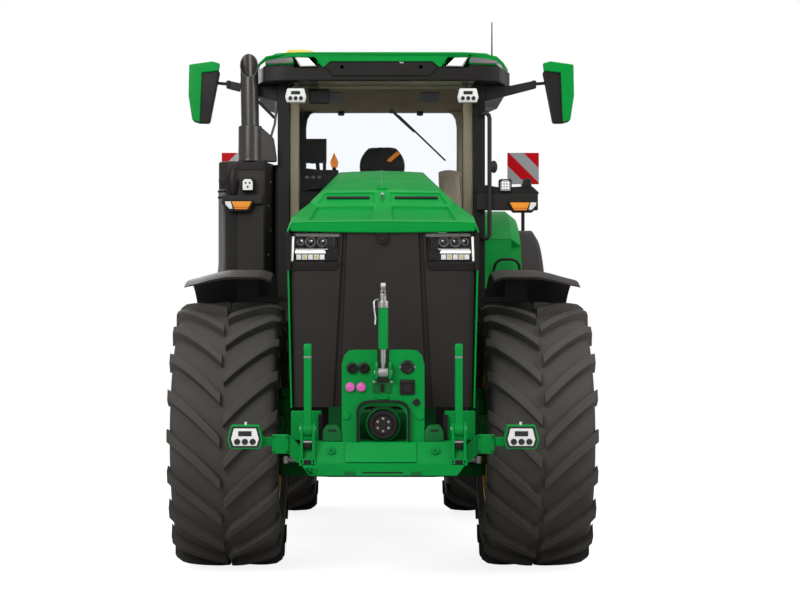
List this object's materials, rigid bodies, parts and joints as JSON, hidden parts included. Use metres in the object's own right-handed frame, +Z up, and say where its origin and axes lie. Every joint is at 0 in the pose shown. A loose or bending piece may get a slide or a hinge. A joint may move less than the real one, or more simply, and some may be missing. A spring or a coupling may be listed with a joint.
{
  "type": "farm tractor",
  "caption": "Large four-wheel-drive farm tractor with steering front wheels, a glazed cab with a door, a lifting hood, a front hitch and a rear three-point hitch.",
  "frame": {"origin": "on the floor, midway along the tractor's length and on its centreline", "axes": "+Z up, the tractor faces -Y, its own left side is +X"},
  "size_m": [2.7, 5.8299, 3.6894],
  "materials": {
    "tyre_rubber": "deep-lugged rubber",
    "rim_yellow": "yellow gloss paint",
    "cast_green": "green paint on castings",
    "body_green": "green gloss bodywork",
    "black_plastic": "black grained plastic",
    "black_steel": "black paint",
    "bright_steel": "bare steel",
    "engine_grey": "dark cast iron",
    "cab_glass": "clear tinted glass",
    "lamp_clear": "clear lens over reflector",
    "lamp_amber": "amber lens",
    "seat_fabric": "dark woven cloth",
    "panel_stripe": "red and white retro-reflective sheet",
    "dome_yellow": "yellow moulded dome"
  },
  "bodies": {
    "chassis": {"front_axle": "cast_green", "front_frame": "cast_green", "engine": "engine_grey", "gearbox": "cast_green", "fuel_tank": "black_plastic", "tool_box": "black_plastic", "cab_floor": "black_plastic", "cab_posts": "black_steel", "cab_liner": "black_plastic", "cab_roof": "body_green", "cab_glass": "cab_glass", "seats": "seat_fabric", "cab_controls": "black_plastic", "steps": "black_steel", "handrails": "black_steel", "cab_brackets": "black_steel", "mirrors": "body_green", "rear_fenders": "body_green", "fender_extensions": "black_plastic", "exhaust_housing": "black_plastic", "exhaust_stack": "black_steel", "work_lamps": "lamp_clear", "road_lamps": "lamp_amber", "warning_panels": "panel_stripe", "roof_receiver": "dome_yellow", "hitch_frame": "cast_green", "front_pto": "black_steel", "drawbar": "black_steel"},
    "steering_knuckle_left": {"knuckle_left": "cast_green", "front_fender_left": "black_plastic"},
    "steering_knuckle_right": {"knuckle_right": "cast_green", "front_fender_right": "black_plastic"},
    "wheel_front_left": {"tyre_front_left": "tyre_rubber", "rim_front_left": "rim_yellow"},
    "wheel_front_right": {"tyre_front_right": "tyre_rubber", "rim_front_right": "rim_yellow"},
    "wheel_rear_left": {"tyre_rear_left": "tyre_rubber", "rim_rear_left": "rim_yellow"},
    "wheel_rear_right": {"tyre_rear_right": "tyre_rubber", "rim_rear_right": "rim_yellow"},
    "steering_link": {"steering_rod": "bright_steel"},
    "hood": {"hood_shell": "body_green", "grille": "black_plastic", "headlights": "lamp_clear"},
    "door": {"door_frame": "black_plastic", "door_glass": "cab_glass"},
    "front_lower_links": {"front_links": "cast_green"},
    "front_upper_link": {"front_top_link": "cast_green"},
    "rear_lower_links": {"rear_links": "black_steel"},
    "rear_lift_arms": {"lift_arms": "cast_green"},
    "rear_lift_rods": {"lift_rods": "bright_steel"}
  },
  "joints": [
    {"name": "steer_left", "type": "hinge", "parent": "chassis", "child": "steering_knuckle_left", "pos_m": [0.6, -1.435, 0.822], "axis": [0, 0, 1], "range_deg": [-27, 27]},
    {"name": "steer_right", "type": "hinge", "parent": "chassis", "child": "steering_knuckle_right", "pos_m": [-0.6, -1.435, 0.822], "axis": [0, 0, 1], "range_deg": [-27, 27]},
    {"name": "steering_slide", "type": "slide", "parent": "chassis", "child": "steering_link", "axis": [1, 0, 0], "range_m": [-0.0925, 0.0925]},
    {"name": "roll_front_left", "type": "hinge", "parent": "steering_knuckle_left", "child": "wheel_front_left", "pos_m": [0.935, -1.435, 0.822], "axis": [1, 0, 0], "continuous": true},
    {"name": "roll_front_right", "type": "hinge", "parent": "steering_knuckle_right", "child": "wheel_front_right", "pos_m": [-0.935, -1.435, 0.822], "axis": [1, 0, 0], "continuous": true},
    {"name": "roll_rear_left", "type": "hinge", "parent": "chassis", "child": "wheel_rear_left", "pos_m": [0.86, 1.615, 1.065], "axis": [1, 0, 0], "continuous": true},
    {"name": "roll_rear_right", "type": "hinge", "parent": "chassis", "child": "wheel_rear_right", "pos_m": [-0.86, 1.615, 1.065], "axis": [1, 0, 0], "continuous": true},
    {"name": "hood_lift", "type": "hinge", "parent": "chassis", "child": "hood", "pos_m": [0, -0.475, 2.48], "axis": [-1, 0, 0], "range_deg": [0, 45]},
    {"name": "door_swing", "type": "hinge", "parent": "chassis", "child": "door", "pos_m": [0.741, 0.712, 2.4], "axis": [0, 0, 1], "range_deg": [0, 70]},
    {"name": "front_links_fold", "type": "hinge", "parent": "chassis", "child": "front_lower_links", "pos_m": [0, -2.875, 0.94], "axis": [1, 0, 0], "range_deg": [0, 105]},
    {"name": "front_top_link_fold", "type": "hinge", "parent": "chassis", "child": "front_upper_link", "pos_m": [0, -2.86, 1.245], "axis": [1, 0, 0], "range_deg": [0, 95]},
    {"name": "rear_links_lift", "type": "hinge", "parent": "chassis", "child": "rear_lower_links", "pos_m": [0, 1.865, 0.56], "axis": [1, 0, 0], "range_deg": [-8, 40]},
    {"name": "lift_arms_turn", "type": "hinge", "parent": "chassis", "child": "rear_lift_arms", "pos_m": [0, 1.735, 1.48], "axis": [1, 0, 0], "range_deg": [-8.5, 40.5]},
    {"name": "lift_rods_turn", "type": "hinge", "parent": "rear_lift_arms", "child": "rear_lift_rods", "pos_m": [0, 2.155, 1.48], "axis": [1, 0, 0], "range_deg": [-40.5, 8.5]}
  ],
  "couplings": [
    {"joint": "steer_right", "follows": "steer_left", "ratio": 1},
    {"joint": "steering_slide", "follows": "steer_left", "m_per_rad": 0.1927},
    {"joint": "lift_arms_turn", "follows": "rear_links_lift", "ratio": 1},
    {"joint": "lift_rods_turn", "follows": "rear_links_lift", "ratio": -1}
  ]
}
